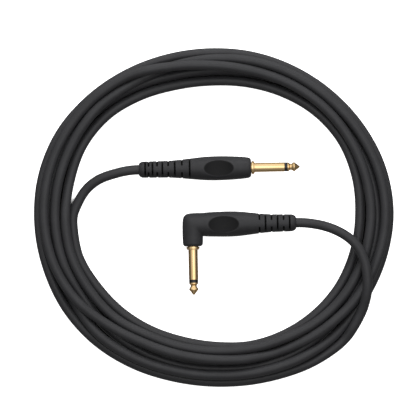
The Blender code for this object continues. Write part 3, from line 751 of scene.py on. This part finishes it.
class Finish:
    """A node material in the making, with its shader and its coordinates at hand."""

    def __init__(self, name, roughness, metallic=0.0):
        self.material = bpy.data.materials.new(name)
        self.material.use_nodes = True
        self.tree = self.material.node_tree
        self.shader = self.tree.nodes["Principled BSDF"]
        self.shader.inputs["Roughness"].default_value = roughness
        self.shader.inputs["Metallic"].default_value = metallic
        self.place = self.tree.nodes.new("ShaderNodeTexCoord").outputs["Object"]
        self.normal = None

    def join(self, output, target):
        self.tree.links.new(output, target)

    def stretched(self, scale):
        """The object's own coordinates, scaled by axis."""
        mapping = self.tree.nodes.new("ShaderNodeMapping")
        mapping.inputs["Scale"].default_value = scale
        self.join(self.place, mapping.inputs["Vector"])
        return mapping.outputs["Vector"]

    def noise(self, size, detail=3.0, vector=None):
        """Noise from 0 to 1 with spots of about the given size in metres."""
        texture = self.tree.nodes.new("ShaderNodeTexNoise")
        texture.inputs["Scale"].default_value = 1 / size
        texture.inputs["Detail"].default_value = detail
        self.join(vector or self.place, texture.inputs["Vector"])
        return texture.outputs["Fac"]

    def spread(self, value, low, high, start=0.3, end=0.7):
        """A value mapped from start..end to low..high."""
        ranged = self.tree.nodes.new("ShaderNodeMapRange")
        for socket, number in (("From Min", start), ("From Max", end), ("To Min", low), ("To Max", high)):
            ranged.inputs[socket].default_value = number
        self.join(value, ranged.inputs["Value"])
        return ranged.outputs["Result"]

    def attribute(self, name):
        """A number stored on the mesh's vertices."""
        reader = self.tree.nodes.new("ShaderNodeAttribute")
        reader.attribute_name = name
        return reader.outputs["Fac"]

    def within(self, middle, reach):
        """1 inside an ellipsoid about the middle, falling to 0 across the narrow DISH_RIM."""
        mapping = self.tree.nodes.new("ShaderNodeMapping")
        mapping.inputs["Scale"].default_value = [1 / size for size in reach]
        mapping.inputs["Location"].default_value = [-place / size for place, size in zip(middle, reach)]
        self.join(self.place, mapping.inputs["Vector"])
        length = self.tree.nodes.new("ShaderNodeVectorMath")
        length.operation = "LENGTH"
        self.join(mapping.outputs["Vector"], length.inputs[0])
        return self.spread(length.outputs["Value"], 1, 0, *DISH_RIM)

    def blend(self, fraction, one, other):
        """A colour between two, or between a socket and a colour."""
        mix = self.tree.nodes.new("ShaderNodeMix")
        mix.data_type = "RGBA"
        self.join(fraction, mix.inputs["Factor"])
        for socket, color in ((mix.inputs[6], one), (mix.inputs[7], other)):
            if isinstance(color, tuple):
                socket.default_value = (*color, 1)
            else:
                self.join(color, socket)
        return mix.outputs[2]

    def color(self, output):
        self.join(output, self.shader.inputs["Base Color"])

    def roughness(self, output):
        self.join(output, self.shader.inputs["Roughness"])

    def bump(self, height, depth):
        """Adds relief of about the given depth in metres."""
        node = self.tree.nodes.new("ShaderNodeBump")
        node.inputs["Distance"].default_value = depth
        node.inputs["Strength"].default_value = 1.0
        self.join(height, node.inputs["Height"])
        if self.normal:
            self.join(self.normal, node.inputs["Normal"])
        self.normal = node.outputs["Normal"]
        self.join(self.normal, self.shader.inputs["Normal"])


def jacket_finish():
    """Black PVC with faint clouds, a fine grain and a slightly wavy surface."""
    made = Finish("pvc_jacket", 0.36)
    made.shader.inputs["Specular IOR Level"].default_value = MOULDED_SPECULAR
    clouds = made.noise(size=0.012, detail=4)
    grain = made.noise(size=0.0005, detail=3)
    patches = made.noise(size=0.003, detail=4)
    waves = made.noise(size=0.006, detail=2)
    base = made.blend(made.spread(clouds, 0, 1), JACKET_DARK, JACKET_LIGHT)
    made.color(made.blend(made.spread(grain, 0, 0.35, start=0.45, end=0.75), base, JACKET_GRAIN))
    made.roughness(made.spread(patches, 0.32, 0.42))
    made.bump(waves, depth=0.00008)
    made.bump(grain, depth=0.00002)
    return made.material


def body_finish(dish_at, dish_reach):
    """Satin black moulded plastic with a fine eroded grain, a duller dish with painted shade, and painted
    shade in the slots.
    """
    made = Finish("moulded_black", 0.40)
    made.shader.inputs["Specular IOR Level"].default_value = MOULDED_SPECULAR
    clouds = made.noise(size=0.008, detail=4)
    grain = made.noise(size=0.00035, detail=2)
    base = made.blend(made.spread(clouds, 0, 1), BODY_DARK, BODY_LIGHT)
    base = made.blend(made.spread(grain, 0, 0.3, start=0.5, end=0.8), base, BODY_GRAIN)
    dish = made.within(dish_at, dish_reach)
    # Painted shade: the dish's colour goes near black where the scoop would lie in shade.
    base = made.blend(dish, base, DISH_PAINTED_SHADE)
    # Painted shade: the slots' colour goes near black by how deep in a slot each point lies.
    slots = made.spread(made.attribute("slot_shade_depth"), 0, 1, start=0.02, end=0.4)
    made.color(made.blend(slots, base, SLOT_PAINTED_SHADE))
    patches = made.noise(size=0.002, detail=4)
    glossy, dull = [(level, level, level) for level in BODY_ROUGHNESS]
    rough = made.blend(made.spread(patches, 0, 1), glossy, dull)
    made.roughness(made.blend(dish, rough, (DISH_ROUGHNESS, DISH_ROUGHNESS, DISH_ROUGHNESS)))
    made.bump(grain, depth=0.00003)
    return made.material


def gold_finish():
    """Gold plate over turned brass, with fine turning rings and light scuffs."""
    made = Finish("gold_plating", 0.2, 1.0)
    made.shader.inputs["Specular Tint"].default_value = GOLD_EDGE
    rings = made.noise(size=0.0006, detail=2, vector=made.stretched(TURNING_SCALE))
    scuffs = made.noise(size=0.004, detail=4, vector=made.stretched(SCUFF_SCALE))
    made.color(made.blend(made.spread(scuffs, 0, 1), GOLD_DARK, GOLD_LIGHT))
    made.roughness(made.spread(scuffs, 0.13, 0.19))
    made.bump(rings, depth=0.0000012)
    return made.material


def plain_finish(name, dark, light, roughness, size, depth, metallic):
    """A finish with mottled colour, finer patches of roughness and a relief that is finer still."""
    made = Finish(name, roughness, metallic)
    spots = made.noise(size, detail=4)
    patches = made.noise(size * 0.6, detail=3)
    made.color(made.blend(made.spread(spots, 0, 1), dark, light))
    made.roughness(made.spread(patches, roughness * 0.8, roughness * 1.2))
    made.bump(made.noise(size * 0.2, detail=2), depth)
    return made.material


def make_finishes():
    made = {
        "cable_jacket": jacket_finish(),
        "straight_body": body_finish((0, SCOOP_RISE, -STRAIGHT_SCOOP_AT), STRAIGHT_DISH),
        "angled_body": body_finish((ARM_SCOOP_AT, SCOOP_RISE, -ARM_DROP), ARM_DISH),
        "gold_plate": gold_finish(),
    }
    for slot, values in PLAIN_FINISHES.items():
        made[slot] = plain_finish(*values)
    return made


# ---------------------------------------------------------------------------------------------------
# Assembly.

def plug_placement(origin, tip_direction):
    up = Vector((0, 0, 1))
    turn = Matrix((up.cross(tip_direction), up, tip_direction)).transposed()
    return Matrix.Translation(origin) @ turn.to_4x4()


def add_plug(prefix, finishes, placement, make_body):
    body = make_body(finishes, placement)
    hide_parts(prefix + "_overmould")
    add_contacts(prefix, finishes, placement)


def finish_frame_nodes(finishes):
    """Gives the nodes inside the plugs their detailed finishes."""
    for row in frame["record"]["subparts"]:
        node = frame["nodes"][row["node"]]
        for slot in node.material_slots:
            slot.material = finishes[FRAME_FINISHES.get(row["node"], row["material_slot"])]


finishes = make_finishes()
add_camera()
add_studio()
add_floor()
add_cable(finishes)
add_plug("straight", finishes, plug_placement(STRAIGHT_ORIGIN, Vector((1, 0, 0))), straight_body)
add_plug("angled", finishes, plug_placement(ANGLED_ORIGIN, Vector((0, -1, 0))), angled_body)
finish_frame_nodes(finishes)
